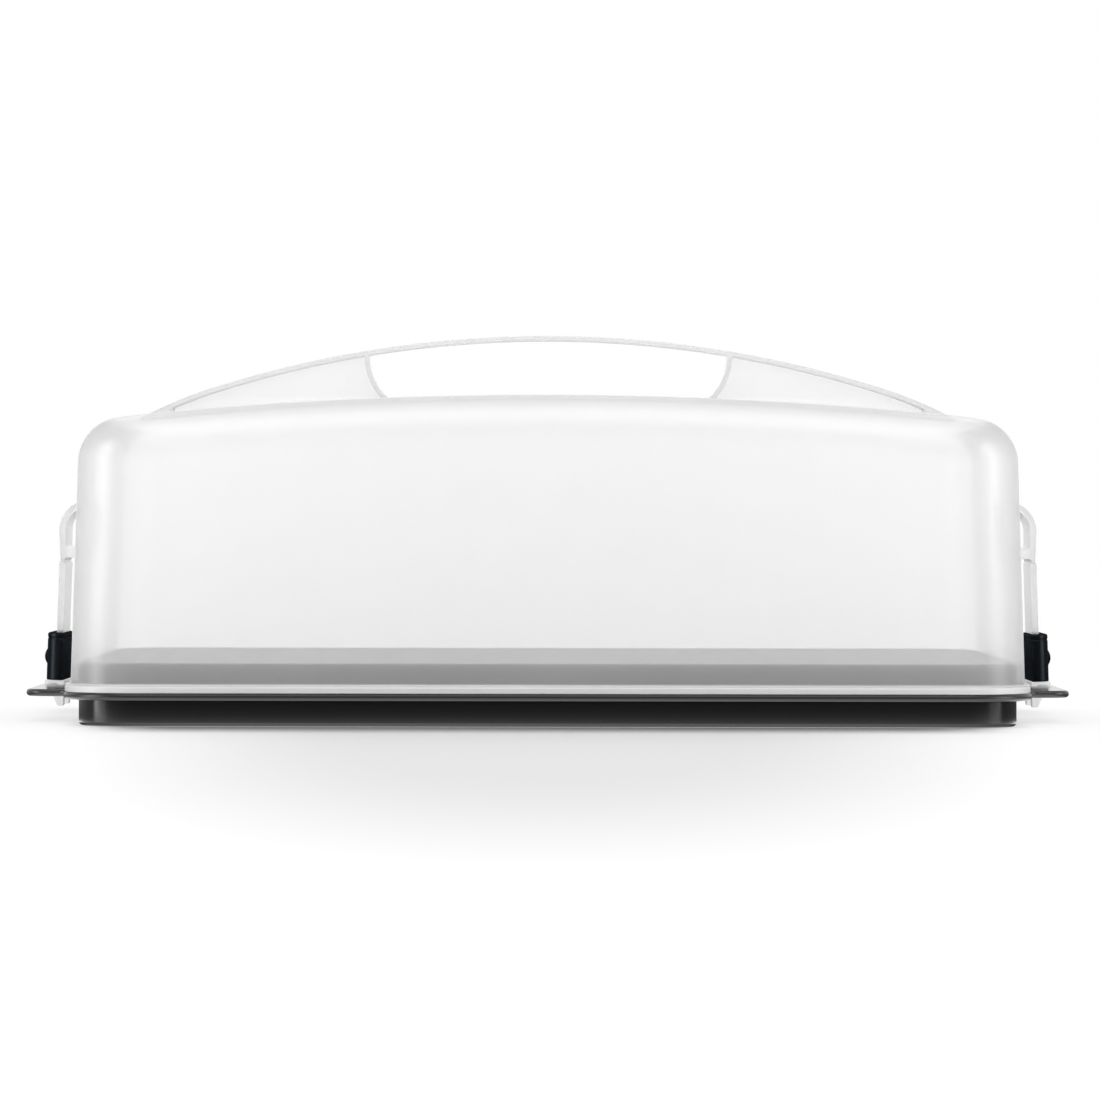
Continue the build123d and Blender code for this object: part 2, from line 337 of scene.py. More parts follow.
def tray_shells():
    """The pan, the rim plate with its tabs and slots, and the ribs under the platform."""
    body = rounded_path(
        rectangle_corners(body_half_length, body_half_depth, body_corner_radius),
        closed=True, segments=20,
    )
    under = platform_height - tray_wall
    cap_under, cap_top = 8.0, 12.0  # where the flat caps of the pan begin, inside its outline
    pan_path = rounded_path([
        [-cap_under, under, 0],
        [-tray_wall, under, 1.2],
        [-tray_wall, 0, 0.3],
        [0, 0, skirt_edge_radius],
        [0, platform_height, platform_edge_radius],
        [-cap_top, platform_height, 0],
    ])
    pan = carried((body, pan_path))
    half = np.array([
        [rim_half_length, -rim_half_depth, body_corner_radius + rim_overhang],
        [rim_half_length, -tab_half_width, tab_root_radius],
        [tray_high[0], -tab_half_width, tab_corner_radius],
        [tray_high[0], tab_half_width, tab_corner_radius],
        [rim_half_length, tab_half_width, tab_root_radius],
        [rim_half_length, rim_half_depth, body_corner_radius + rim_overhang],
    ])
    edge = rounded_path(np.vstack([half, half * [-1, -1, 1]]), closed=True, segments=12)
    cap_rim, cap_hole = 3.2, 1.0  # where the rim's flat caps begin, beside its edge and holes
    edge_path = rounded_path([
        [-cap_rim, skirt_height, 0],
        [0, skirt_height, rim_edge_radius],
        [0, rim_top, rim_edge_radius],
        [-cap_rim, rim_top, 0],
    ], segments=10)
    hole = rectangle_corners(
        body_half_length - tray_wall / 2,
        body_half_depth - tray_wall / 2,
        body_corner_radius - tray_wall / 2,
    )[::-1]
    middle = (slot_inner + slot_outer) / 2
    slot = rectangle_corners(
        (slot_outer - slot_inner) / 2, arm_half_width + slot_end_gap, slot_corner_radius
    )[::-1]
    hole_path = rounded_path([
        [-cap_hole, skirt_height, 0],
        [0, skirt_height, 0.3],
        [0, rim_top, 0.3],
        [-cap_hole, rim_top, 0],
    ], segments=3)
    holes = [rounded_path(hole, closed=True, segments=20)]
    holes += [
        rounded_path(slot + [side * middle, 0, 0], closed=True, segments=4)
        for side in (-1, 1)
    ]
    rim = carried((edge, edge_path), *[(h, hole_path) for h in holes])
    across = rectangle_corners(
        rib_thickness / 2, body_half_depth - tray_wall / 2, rib_edge_radius
    )
    along = rectangle_corners(
        body_half_length - tray_wall / 2, rib_thickness / 2, rib_edge_radius
    )
    outlines = [across + [x, 0, 0] for x in (-rib_pitch_x, 0, rib_pitch_x)]
    outlines += [along + [0, y, 0] for y in (-rib_pitch_y / 2, rib_pitch_y / 2)]
    ribs = [
        slab(
            [rounded_path(outline, closed=True, segments=3)],
            under - rib_depth, under + rib_root, edge=rib_edge_radius,
        )
        for outline in outlines
    ]
    return [pan, rim, *ribs]


# ---- Hood ---------------------------------------------------------------------------------

def hood_shell():
    """The hood as one closed skin of rings, from the middle of its ceiling, down the inside,
    round the flange and up the outside to the middle of its top.

    A ring is the hood's footprint moved out by an offset and drawn in at the ends by the lean
    times its height. Low rings are level. High rings follow the crown, a cylinder across the
    length, at a drop below it, and the last ones shrink towards the middle."""
    foot, foot_normal = rounded_path(
        rectangle_corners(hood_half_length, hood_half_depth, hood_corner_radius, 36),
        closed=True, segments=24,
    )
    run = hood_half_length - hood_corner_radius
    pull = np.clip(foot[:, 0] / run, -1, 1)
    wall_normal = np.column_stack([foot_normal, abs(foot_normal[:, 0]) * hood_lean])
    wall_normal /= np.linalg.norm(wall_normal, axis=1, keepdims=True)

    def top_rings(offset, drop, radius, shrink):
        """High rings round an edge radius and on to the middle, with their outward normals."""
        turn = np.linspace(0, np.pi / 2, 13)
        out = -offset - radius * (1 - np.cos(turn))
        down = drop + radius * (1 - np.sin(turn))
        flat = foot[None] + out[:, None, None] * foot_normal[None]
        x = flat[..., 0]
        x = x - hood_lean * (crown(x) - down[:, None] - rim_top) * pull
        height = crown(x) - down[:, None]
        rings = np.stack([x, flat[..., 1], height], -1)
        inner = rings[-1] * shrink[:, None, None]
        inner[..., 2] = crown(inner[..., 0]) - drop
        along = np.concatenate([rings, inner])
        top = np.stack([along[..., 0], 0 * along[..., 0], 0 * along[..., 0] + crown_radius], -1)
        top /= np.linalg.norm(top, axis=-1, keepdims=True)
        turn = np.concatenate([turn, np.full(len(shrink), np.pi / 2)])[:, None, None]
        return along, np.cos(turn) * wall_normal + np.sin(turn) * top

    shrink = np.linspace(1, 0, 14)[1:-1] ** 0.9
    outer, outer_normal = top_rings(0, 0, hood_edge_radius, shrink)
    inner, inner_normal = top_rings(hood_wall, hood_wall, hood_edge_radius - hood_wall, shrink)
    seam = 40.0  # height at which the level rings end
    low, low_normal = rounded_path([
        [-hood_wall, seam, 0],
        [-hood_wall, rim_top, 0.4],
        [flange_out, rim_top, 0.5],
        [flange_out, flange_top, 1.0],
        [0, flange_top, 1.6],
        [0, seam, 0],
    ])
    flat = foot[None] + low[:, 0, None, None] * foot_normal[None]
    x = flat[..., 0] - hood_lean * (low[:, 1, None] - rim_top) * pull
    height = np.broadcast_to(low[:, 1, None], x.shape)
    skirt = np.stack([x, flat[..., 1], height], -1)
    skirt_normal = low_normal[:, 0, None, None] * wall_normal[None]
    skirt_normal = skirt_normal + low_normal[:, 1, None, None] * np.array([0, 0, 1])
    rings = np.concatenate([inner[::-1], skirt, outer])
    normals = np.concatenate([-inner_normal[::-1], skirt_normal, outer_normal])
    return ring_shell([rings], [normals])


def loop_shell():
    """The right-hand loop: a D of constant thickness with a web below it and a round seat for the
    arm under its strap, drawn from the front and as wide as the arm."""
    centre = np.array([arm_centre + arm_thickness / 2 - loop_radius, loop_centre_height])
    outer, inner = loop_radius, loop_radius - arm_thickness
    strap_in = centre[0] + inner
    bite = 0.02  # how far the loop's feet reach into the hood's wall

    def wall_x(height):
        """Where the right-hand loop meets the hood's wall at a height."""
        return hood_half_length - hood_lean * (height - rim_top) + bite

    def arc(radius, start, end, count=14):
        """Rows of an arc round the loop's centre."""
        angle = np.linspace(start, end, count)
        rows = centre + radius * np.stack([np.cos(angle), np.sin(angle)], 1)
        return np.column_stack([rows, 0 * angle])

    seat = arm_thickness / 2 + loop_seat_gap
    seat_end = np.arcsin(loop_seat_lift)
    seat_turn = np.linspace(seat_end, np.pi - seat_end, 7)
    seat_rows = np.column_stack([
        arm_centre + seat * np.cos(seat_turn),
        bend_height + seat * np.sin(seat_turn),
        0 * seat_turn,
    ])
    web_low, web_high = loop_web_height, loop_web_height + loop_web_thickness
    top_turn = np.arccos((wall_x(centre[1] + outer) - centre[0]) / outer)
    outside = np.vstack([
        [[wall_x(web_low), web_low, 0.05]],
        [[strap_in, web_low, 0.8]],
        seat_rows[::-1],
        arc(outer, 0, top_turn),
    ])
    inner_turn = np.arccos((wall_x(centre[1] + inner) - centre[0]) / inner)
    inside = np.vstack([
        [[wall_x(web_high) + 0.6, web_high, 0.5]],
        [[strap_in, web_high, 0.8]],
        arc(inner, 0, inner_turn),
    ])[::-1]
    loops = [rounded_path(outside, True, 5), rounded_path(inside, True, 5)]
    return upright(slab(loops, -arm_half_width, arm_half_width, edge=0.35))


# ---- Handle -------------------------------------------------------------------------------

def handle_shells():
    """The arched band with the strip that lies on the hood and the two ribs beside the opening,
    and the thin web in each of its two side panels. Drawn from the front."""
    arch_centre = handle_top - handle_arc_radius
    x = np.linspace(-handle_arc_half_span, handle_arc_half_span, 61)
    arch = np.column_stack([x, arch_centre + np.sqrt(handle_arc_radius**2 - x**2)])
    radial = (arch[-1] - [0, arch_centre]) / handle_arc_radius
    tip = np.array([handle_end_x, crown(handle_end_x) + handle_seat_gap])
    right_end = tangent_arc(arch[-1], np.array([radial[1], -radial[0]]), tip, 9)[1:]
    left_end = right_end[::-1] * [-1, 1]
    top = np.vstack([left_end, arch, right_end])
    floor_x = np.linspace(-handle_end_x, handle_end_x, 61)[1:-1]
    floor = np.column_stack([floor_x, crown(floor_x) + handle_seat_gap])
    rows = np.vstack([floor, top[::-1]])
    radii = np.zeros(len(rows))
    radii[[len(floor), len(rows) - 1]] = 0.5
    outside = rounded_path(np.column_stack([rows, radii]), True, 5)

    slope = np.gradient(top, axis=0)
    slope /= np.linalg.norm(slope, axis=1, keepdims=True)
    under = top + band_thickness * np.column_stack([slope[:, 1], -slope[:, 0]])
    corner = np.array([
        opening_half_width - opening_corner_radius, crown_top + opening_corner_rise,
    ])

    def ceiling(x):
        """Height of the band's underside at x."""
        return np.interp(x, under[:, 0], under[:, 1])

    def strip(x):
        """Height of the strip's top at x."""
        return crown(x) + handle_seat_gap + band_thickness

    def rib_side(radius, count=13):
        """A rib's side from the strip up: an arc that ends upright, below the band."""
        foot_x = corner[0] + 0.72 * radius  # about where the arc meets the strip
        foot_turn = -np.arcsin((corner[1] - strip(foot_x)) / radius)
        turn = np.linspace(foot_turn, 0, count)
        return corner + radius * np.stack([np.cos(turn), np.sin(turn)], 1)

    side = rib_side(opening_corner_radius)
    edge_x = side[-1, 0]
    span = np.linspace(edge_x, -edge_x, 41)
    foot_x = np.linspace(-side[0, 0], side[0, 0], 25)
    opening = np.vstack([
        np.column_stack([foot_x, strip(foot_x)]),
        side[1:],
        np.column_stack([span, ceiling(span)]),
        (side[1:] * [-1, 1])[::-1],
    ])
    opening_radii = np.zeros(len(opening))
    opening_radii[[0, len(foot_x) - 1]] = 0.5
    opening_radii[[len(foot_x) + len(side) - 1, len(foot_x) + len(side) + len(span) - 2]] = 0.7

    rib = rib_side(opening_corner_radius + band_thickness)
    reach = np.linspace(rib[-1, 0], handle_end_x, 400)
    tip_height, count = 1.8, 24
    tip_x = reach[np.argmax(ceiling(reach) - strip(reach) < tip_height)]
    roof_x = np.linspace(rib[-1, 0], tip_x, count)
    bed_x = np.linspace(tip_x, rib[0, 0], count)
    panel = np.vstack([
        rib[:-1],
        np.column_stack([roof_x, ceiling(roof_x)]),
        np.column_stack([bed_x, strip(bed_x)])[:-1],
    ])
    panel_radii = np.zeros(len(panel))
    panel_radii[[0, len(rib) - 1]] = 0.7
    tip_row = len(rib) + count - 2
    panel_radii[[tip_row, tip_row + 1]] = 0.15
    hole_right = np.column_stack([panel, panel_radii])
    hole_left = (hole_right * [-1, 1, 1])[::-1]
    holes = [np.column_stack([opening, opening_radii])[::-1], hole_right, hole_left]
    loops = [outside] + [rounded_path(h, True, 5) for h in holes]
    band = slab(loops, -handle_half_width, handle_half_width, edge=0.45)
    root = web_half_thickness + web_fillet
    cap_web = 0.64  # where the web's flat faces begin, beside the band
    web_path = rounded_path([
        [-cap_web, -web_half_thickness, 0],
        [web_bite, -root, 0],
        [web_bite, root, 0],
        [-cap_web, web_half_thickness, 0],
    ])
    webs = [
        carried((rounded_path(h, True, 5), web_path))
        for h in (hole_right[::-1], hole_left[::-1])
    ]
    return [upright(s) for s in (band, *webs)]


# ---- Latches ------------------------------------------------------------------------------

def arm_shells():
    """The right-hand strap with its round top and its foot, then its two hooks. All are drawn
    from the front in the leaning frame, as outlines that are carried across the width."""
    half = arm_thickness / 2
    inner = -half - hook_setback
    turn = np.linspace(0, np.pi, 13)
    cap = np.column_stack([half * np.cos(turn), half * np.sin(turn), 0 * turn])
    foot_high = foot_low + foot_thickness
    strap = np.vstack([
        [[inner, foot_low, 0.3], [foot_reach + half, foot_low, 0.5]],
        [[foot_reach + half, foot_high, 0.5], [half, foot_high, 0.3]],
        cap,
        [[-half, foot_high, 0.2], [inner, foot_high, 0.3]],
    ])
    shells = [slab([rounded_path(strap, True, 5)], -arm_half_width, arm_half_width, edge=0.3)]
    shank = inner + arm_thickness
    tip = barb_top - hook_depth
    hook_top = foot_low - 0.02
    hook = [
        [inner, tip, 0.6],
        [inner + hook_tip_thickness, tip, 0.9],
        [shank + hook_barb, barb_top - hook_lip, 0.5],
        [shank + hook_barb, barb_top, 0.3],
        [shank, barb_top, 0.2],
        [shank, hook_top, 0.05],
        [inner, hook_top, 0.05],
    ]
    loop = rounded_path(hook, True, 5)
    middle = arm_half_width - hook_width / 2
    for at in (-middle, middle):
        shells.append(slab([loop], at - hook_width / 2, at + hook_width / 2, edge=0.35))
    return [leaned(upright(s)) for s in shells]


def pad_shell():
    """The right-hand grip pad, a sleeve round the strap, in the leaning frame.

    Its rounded outline is carried up a path with soft edges and a shallow band groove. On the
    outward face the thumb rest swells by a parabola of the distance to its level middle line."""
    half = arm_thickness / 2
    low = foot_low + foot_thickness
    high = low + pad_height
    back, front = -half - pad_back, half + pad_front
    outline = rectangle_corners((front - back) / 2, pad_half_width, pad_corner_radius)
    outline[:, 0] += (front + back) / 2
    outline[[0, 3], 2] = pad_inner_corner_radius
    face = np.linspace(-1, 1, 93)[1:-1, None] * (pad_half_width - pad_corner_radius)
    face = np.hstack([0 * face + front, face, 0 * face])
    outline = np.vstack([outline[:2], face, outline[2:]])
    groove = high - pad_band_drop
    mouth, bed = pad_band_half_width, 0.2
    rows = np.linspace(low + 1.6, groove - 0.9, 45)[:, None]  # dense, for the thumb rest
    path = rounded_path(np.vstack([
        [[-1.1 * pad_foot_radius, low, 0], [0, low, pad_foot_radius]],
        np.hstack([0 * rows, rows, 0 * rows]),
        [[0, groove - mouth, 0.25], [-pad_band_depth, groove - bed, 0.2]],
        [[-pad_band_depth, groove + bed, 0.2], [0, groove + mouth, 0.25]],
        [[0, high, pad_head_radius], [-pad_head_radius - 0.05, high, 0]],
    ]), segments=5)
    # the hole for the strap is a plain slot, so its path only rounds the two mouths
    sleeve = rectangle_corners(half + pad_sleeve_gap, arm_half_width + pad_sleeve_gap, 0.3)[::-1]
    sleeve_path = rounded_path([
        [-0.2, low, 0], [0, low, 0.15], [0, high, 0.15], [-0.2, high, 0],
    ], segments=3)
    points, normals, quads, triangles = carried(
        (rounded_path(outline, True, 10), path),
        (rounded_path(sleeve, True, 3), sleeve_path),
    )
    past = np.maximum(abs(points[:, 1]) - thumb_rest_half_length, 0)
    rise = points[:, 2] - (high - thumb_rest_drop)
    away = np.hypot(past, rise) / thumb_rest_half_height
    swell = thumb_rest_bulge * np.clip(1 - away**2, 0, 1) * (points[:, 0] > half + 1)
    slope = np.where(swell > 0, 2 * thumb_rest_bulge / thumb_rest_half_height**2, 0)
    points = points + np.column_stack([swell, 0 * swell, 0 * swell])
    tilt = np.column_stack([0 * slope, slope * past * np.sign(points[:, 1]), slope * rise])
    return leaned((points, normals + tilt * abs(normals[:, :1]), quads, triangles))


# ---- Finishes -----------------------------------------------------------------------------

def linear(colour):
    """A linear RGBA colour from an sRGB hex value such as "2a2b2c"."""
    c = np.array([int(colour[i:i + 2], 16) for i in (0, 2, 4)]) / 255
    c = np.where(c <= 0.04045, c / 12.92, ((c + 0.055) / 1.055) ** 2.4)
    return (*c.tolist(), 1.0)


def add_node(tree, kind, inputs=None, **settings):
    """Adds a node, sets its properties, and sets or links its inputs by name or number."""
    node = tree.nodes.new(kind)
    for key, value in settings.items():
        setattr(node, key, value)
    for key, value in (inputs or {}).items():
        if isinstance(value, bpy.types.NodeSocket):
            tree.links.new(value, node.inputs[key])
        else:
            node.inputs[key].default_value = value
    return node


def new_material(name):
    """An empty node material, with its tree and its object coordinates."""
    made = bpy.data.materials.new(name)
    made.use_nodes = True
    tree = made.node_tree
    tree.nodes.clear()
    place = add_node(tree, "ShaderNodeTexCoord").outputs["Object"]
    return made, tree, place


def finish_material(tree, surface):
    """Links the last shader to the material's output."""
    add_node(tree, "ShaderNodeOutputMaterial", {"Surface": surface})


def frosted_polypropylene(
    name, haze, haze_edge=0.45, colour="fefefe", edge_colour="a8a8a8", thick_below=None,
    painted_glow=0.0,
):
    """Clarified polypropylene, injection moulded in a lightly etched mould: light goes nearly
    straight through, a share is scattered white, more at a glancing look, where the way through
    the wall is also longer and greyer, and a soft gloss lies on top. That grey at the outlines is
    partly painted shade.

    The melt's flow leaves slow, faint changes of haze about 45 mm across, and the etch a 0.9 mm
    ripple in the gloss, drawn coarser than the real 0.1 mm so that it shows. Below a given height
    in metres the moulding is a few walls thick and nearly opaque, and there a share of its light
    may be a painted glow: a white emission of its own, though it is no lamp."""
    made, tree, place = new_material(name)
    flow = add_node(tree, "ShaderNodeTexNoise", {"Vector": place, "Scale": 22.0, "Detail": 1.0})
    etch = add_node(tree, "ShaderNodeTexNoise", {"Vector": place, "Scale": 1100.0, "Detail": 2.0})
    ripple = add_node(tree, "ShaderNodeBump", {
        "Height": etch.outputs[0], "Strength": 0.012, "Distance": 0.0002,
    }).outputs[0]
    height = add_node(tree, "ShaderNodeSeparateXYZ", {0: place}).outputs["Z"]

    # how strongly an outline shows: from 0 face on to 1 at a glancing look
    facing = add_node(tree, "ShaderNodeLayerWeight", {"Blend": 0.5}).outputs["Facing"]
    # painted shade in part: the outline grey is left off a level face that is seen from below,
    # which stays white as if lit from above
    normal = add_node(tree, "ShaderNodeTexCoord").outputs["Normal"]
    upward = add_node(tree, "ShaderNodeSeparateXYZ", {0: normal}).outputs["Z"]
    outline = add_node(tree, "ShaderNodeMapRange", {
        "Value": upward, "From Min": -0.96, "From Max": -0.85, "To Min": 0.0, "To Max": 1.0,
    }).outputs[0]
    # the haze of the walls in front blurs the outlines of the walls behind
    walls_before = add_node(tree, "ShaderNodeLightPath").outputs["Transparent Depth"]
    veil = add_node(tree, "ShaderNodeMapRange", {
        "Value": walls_before, "From Min": 1.5, "From Max": 2.5, "To Min": 1.0, "To Max": 0.35,
    }).outputs[0]
    outline = add_node(tree, "ShaderNodeMath", {
        0: outline, 1: veil,
    }, operation="MULTIPLY").outputs[0]
    shares = []
    for power in (3.0, 3.1, 8.0):
        steep = add_node(tree, "ShaderNodeMath", {0: facing, 1: power}, operation="POWER")
        shares.append(add_node(tree, "ShaderNodeMath", {
            0: steep.outputs[0], 1: outline,
        }, operation="MULTIPLY").outputs[0])
    hazier, greyer, glossier = shares

    share = add_node(tree, "ShaderNodeMapRange", {
        "Value": hazier, "To Min": haze, "To Max": haze_edge,
    }).outputs[0]
    uneven = add_node(tree, "ShaderNodeMapRange", {
        "Value": flow.outputs[0], "From Min": 0.3, "From Max": 0.7, "To Min": 0.97, "To Max": 1.03,
    }).outputs[0]
    share = add_node(tree, "ShaderNodeMath", {
        0: share, 1: uneven,
    }, operation="MULTIPLY").outputs[0]
    if thick_below:
        thick = add_node(tree, "ShaderNodeMapRange", {
            "Value": height, "From Min": thick_below, "From Max": thick_below + 0.001,
            "To Min": 0.88, "To Max": 0.0,
        }).outputs[0]
        share = add_node(tree, "ShaderNodeMath", {
            0: share, 1: thick,
        }, operation="MAXIMUM").outputs[0]

    # the grey towards the outlines is partly the longer way through the wall and partly painted
    # shade
    tint = add_node(tree, "ShaderNodeMix", {
        0: greyer, 6: linear(colour), 7: linear(edge_colour),
    }, data_type="RGBA").outputs[2]
    lit = add_node(tree, "ShaderNodeBsdfDiffuse", {"Color": tint}).outputs[0]
    through = add_node(tree, "ShaderNodeBsdfTranslucent", {"Color": tint}).outputs[0]
    scatter = add_node(tree, "ShaderNodeMixShader", {0: 0.35, 1: lit, 2: through}).outputs[0]
    # painted light: below the given height a share of the scatter becomes a white glow of the
    # plastic's own
    if painted_glow:
        inner = add_node(tree, "ShaderNodeMapRange", {
            "Value": height, "From Min": thick_below, "From Max": thick_below + 0.001,
            "To Min": painted_glow, "To Max": 0.0,
        }).outputs[0]
        glow = add_node(tree, "ShaderNodeEmission", {"Color": linear("ffffff")}).outputs[0]
        scatter = add_node(tree, "ShaderNodeMixShader", {
            0: inner, 1: scatter, 2: glow,
        }).outputs[0]
    clear = add_node(tree, "ShaderNodeMix", {
        0: greyer, 6: linear("ffffff"), 7: linear("d9d9d9"),
    }, data_type="RGBA").outputs[2]
    clear = add_node(tree, "ShaderNodeBsdfTransparent", {"Color": clear}).outputs[0]
    body = add_node(tree, "ShaderNodeMixShader", {0: share, 1: clear, 2: scatter}).outputs[0]
    gloss = add_node(tree, "ShaderNodeBsdfAnisotropic", {
        "Color": linear("ffffff"), "Roughness": 0.31, "Normal": ripple,
    }).outputs[0]
    mirror = add_node(tree, "ShaderNodeMapRange", {
        "Value": glossier, "To Min": 0.035, "To Max": 0.9,
    }).outputs[0]
    surface = add_node(tree, "ShaderNodeMixShader", {0: mirror, 1: body, 2: gloss}).outputs[0]
    finish_material(tree, surface)
    return made


def charcoal_polypropylene():
    """Charcoal polypropylene, injection moulded and satin: near black, with an even soft sheen
    over a mould grain too fine to see, and slow, faint changes of shade about 30 mm across. The
    top of the platform, where a cake slides, is moulded a little rougher. So is the side of the
    rim, where the mould's halves part. There the colour is painted paler, most of all on the tabs,
    as painted light for the light that falls on them."""
    made, tree, place = new_material("charcoal_polypropylene")
    grain = add_node(tree, "ShaderNodeTexNoise", {"Vector": place, "Scale": 1400.0, "Detail": 2.0})
    slow = add_node(tree, "ShaderNodeTexNoise", {"Vector": place, "Scale": 33.0, "Detail": 2.0})
    bump = add_node(tree, "ShaderNodeBump", {
        "Height": grain.outputs[0], "Strength": 0.03, "Distance": 0.0002,
    }).outputs[0]
    shade = add_node(tree, "ShaderNodeMix", {
        0: slow.outputs[0], 6: linear("17181a"), 7: linear("1b1c1d"),
    }, data_type="RGBA").outputs[2]
    at = add_node(tree, "ShaderNodeSeparateXYZ", {0: place}).outputs
    rough = add_node(tree, "ShaderNodeMapRange", {
        "Value": at["Z"], "From Min": (platform_height - 0.4) * MM,
        "From Max": (platform_height - 0.1) * MM, "To Min": 0.15, "To Max": 0.34,
    }).outputs[0]
    off_middle = add_node(tree, "ShaderNodeMath", {
        0: at["Z"], 1: (rim_top - 1.6) * MM,
    }, operation="SUBTRACT").outputs[0]
    off_middle = add_node(tree, "ShaderNodeMath", {0: off_middle}, operation="ABSOLUTE")
    rim = add_node(tree, "ShaderNodeMapRange", {
        "Value": off_middle.outputs[0], "From Min": 1.3 * MM, "From Max": 1.5 * MM,
        "To Min": 1.0, "To Max": 0.0,
    }).outputs[0]
    matt = add_node(tree, "ShaderNodeMath", {0: rim, 1: 0.34}, operation="MULTIPLY").outputs[0]
    rough = add_node(tree, "ShaderNodeMath", {0: rough, 1: matt}, operation="MAXIMUM").outputs[0]
    aside = add_node(tree, "ShaderNodeMath", {0: at["X"]}, operation="ABSOLUTE").outputs[0]
    # painted light: the rim's side, and most of all the tabs, are painted paler, as if lit more
    painted_rim_light = add_node(tree, "ShaderNodeMapRange", {
        "Value": aside, "From Min": 0.198, "From Max": 0.202, "To Min": 0.35, "To Max": 1.0,
    }).outputs[0]
    painted_rim_light = add_node(tree, "ShaderNodeMath", {0: rim, 1: painted_rim_light}, operation="MULTIPLY").outputs[0]
    shade = add_node(tree, "ShaderNodeMix", {
        0: painted_rim_light, 6: shade, 7: linear("343436"),
    }, data_type="RGBA").outputs[2]
    shader = add_node(tree, "ShaderNodeBsdfPrincipled", {
        "Base Color": shade, "Roughness": rough, "IOR": 1.49, "Normal": bump,
    })
    finish_material(tree, shader.outputs[0])
    return made


def soft_touch_elastomer():
    """Black thermoplastic elastomer, moulded over the arm: matt, with a faint blue-grey bloom at
    the edges and a fine leathery grain of about 0.6 mm."""
    made, tree, place = new_material("soft_touch_elastomer")
    grain = add_node(tree, "ShaderNodeTexVoronoi", {"Vector": place, "Scale": 1600.0})
    bump = add_node(tree, "ShaderNodeBump", {
        "Height": grain.outputs["Distance"], "Strength": 0.06, "Distance": 0.0002,
    }).outputs[0]
    bloom = add_node(tree, "ShaderNodeTexNoise", {"Vector": place, "Scale": 90.0, "Detail": 3.0})
    shade = add_node(tree, "ShaderNodeMix", {
        0: bloom.outputs[0], 6: linear("060607"), 7: linear("0a0a0c"),
    }, data_type="RGBA").outputs[2]
    body = add_node(tree, "ShaderNodeBsdfDiffuse", {"Color": shade, "Normal": bump}).outputs[0]
    sheen = add_node(tree, "ShaderNodeBsdfAnisotropic", {
        "Color": linear("dceeff"), "Roughness": 0.28, "Normal": bump,
    }).outputs[0]
    shader = add_node(tree, "ShaderNodeMixShader", {0: 0.021, 1: body, 2: sheen})
    finish_material(tree, shader.outputs[0])
    return made


# ---- Pieces -------------------------------------------------------------------------------

hood_plastic = frosted_polypropylene(
    "frosted_polypropylene_hood", haze=0.25, thick_below=(flange_top + 0.2) * MM
)
web_plastic = frosted_polypropylene(
    "frosted_polypropylene_web", haze=0.15, edge_colour="d4d4d4"
)
band_plastic = frosted_polypropylene(
    "frosted_polypropylene_band", haze=0.6, haze_edge=0.75, colour="eaeaea", edge_colour="d4d4d4"
)
thick_plastic = frosted_polypropylene(
    "frosted_polypropylene_thick", haze=0.36, haze_edge=0.6, colour="f4f4f4", edge_colour="dcdcdc"
)
foot_top = rim_top + latch_gap + foot_thickness
# the feet and hooks of the arms carry a painted glow
arm_plastic = frosted_polypropylene(
    "frosted_polypropylene_arm", haze=0.4, haze_edge=0.62, colour="f8f8f8", edge_colour="dcdcdc",
    thick_below=(foot_top + 0.2) * MM, painted_glow=0.48
)
tray_plastic = charcoal_polypropylene()
pad_rubber = soft_touch_elastomer()

dress(piece("tray", *tray_shells()), tray_plastic, "base", "dark_plastic", "base_tray")
dress(piece("hood_shell", hood_shell()), hood_plastic, "hood", "clear_plastic", "hood")
loop = loop_shell()
dress(
    piece("latch_loops", loop, mirrored(loop)), thick_plastic, "hood", "clear_plastic", "hood"
)
band, *webs = handle_shells()
dress(piece("handle_band", band), band_plastic, "hood", "clear_plastic", "carry_handle")
dress(piece("handle_webs", *webs), web_plastic, "hood", "clear_plastic", "carry_handle")
right_arm = arm_shells()
left_arm = [mirrored(shell) for shell in right_arm]
for side, (strap, *hooks) in (("right", right_arm), ("left", left_arm)):
    body, node = "latch_" + side, "latch_arm_" + side
    dress(piece("arm_" + side, strap), arm_plastic, body, "clear_plastic", node)
    dress(piece("hooks_" + side, *hooks), arm_plastic, body, "clear_plastic", node)
pad = pad_shell()
dress(piece("pad_right", pad), pad_rubber, "latch_right", "soft_grip", "grip_pad_right")
dress(piece("pad_left", mirrored(pad)), pad_rubber, "latch_left", "soft_grip", "grip_pad_left")


# ---- Studio -------------------------------------------------------------------------------

